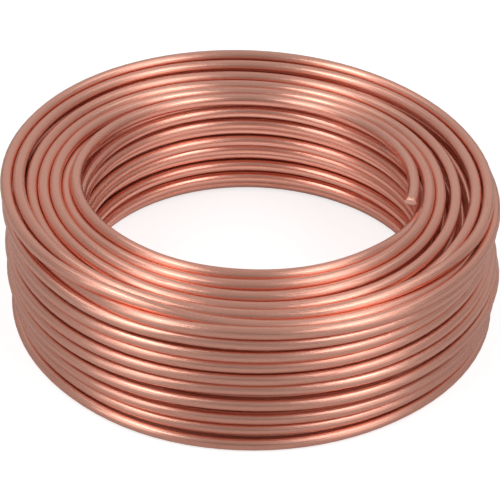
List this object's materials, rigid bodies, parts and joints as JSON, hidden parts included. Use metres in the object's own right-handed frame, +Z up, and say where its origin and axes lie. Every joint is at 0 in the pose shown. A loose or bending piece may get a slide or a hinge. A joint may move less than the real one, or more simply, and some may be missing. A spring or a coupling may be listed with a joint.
{
  "type": "wire coil",
  "caption": "Squat ring-shaped coil of bare copper wire lying on one end, with an open bore and a cut wire end showing inside it.",
  "frame": {"origin": "on the coil's axis, at the level its lowest turns rest on", "axes": "+Z up along the axis of the bore; -Y is the front and the cut end stands in the bore near +X"},
  "size_m": [0.0426, 0.0426, 0.0131],
  "materials": {
    "copper_wire": "satin bare copper, drawn wire"
  },
  "bodies": {
    "root": {"wire_coil": "copper_wire"}
  },
  "joints": []
}
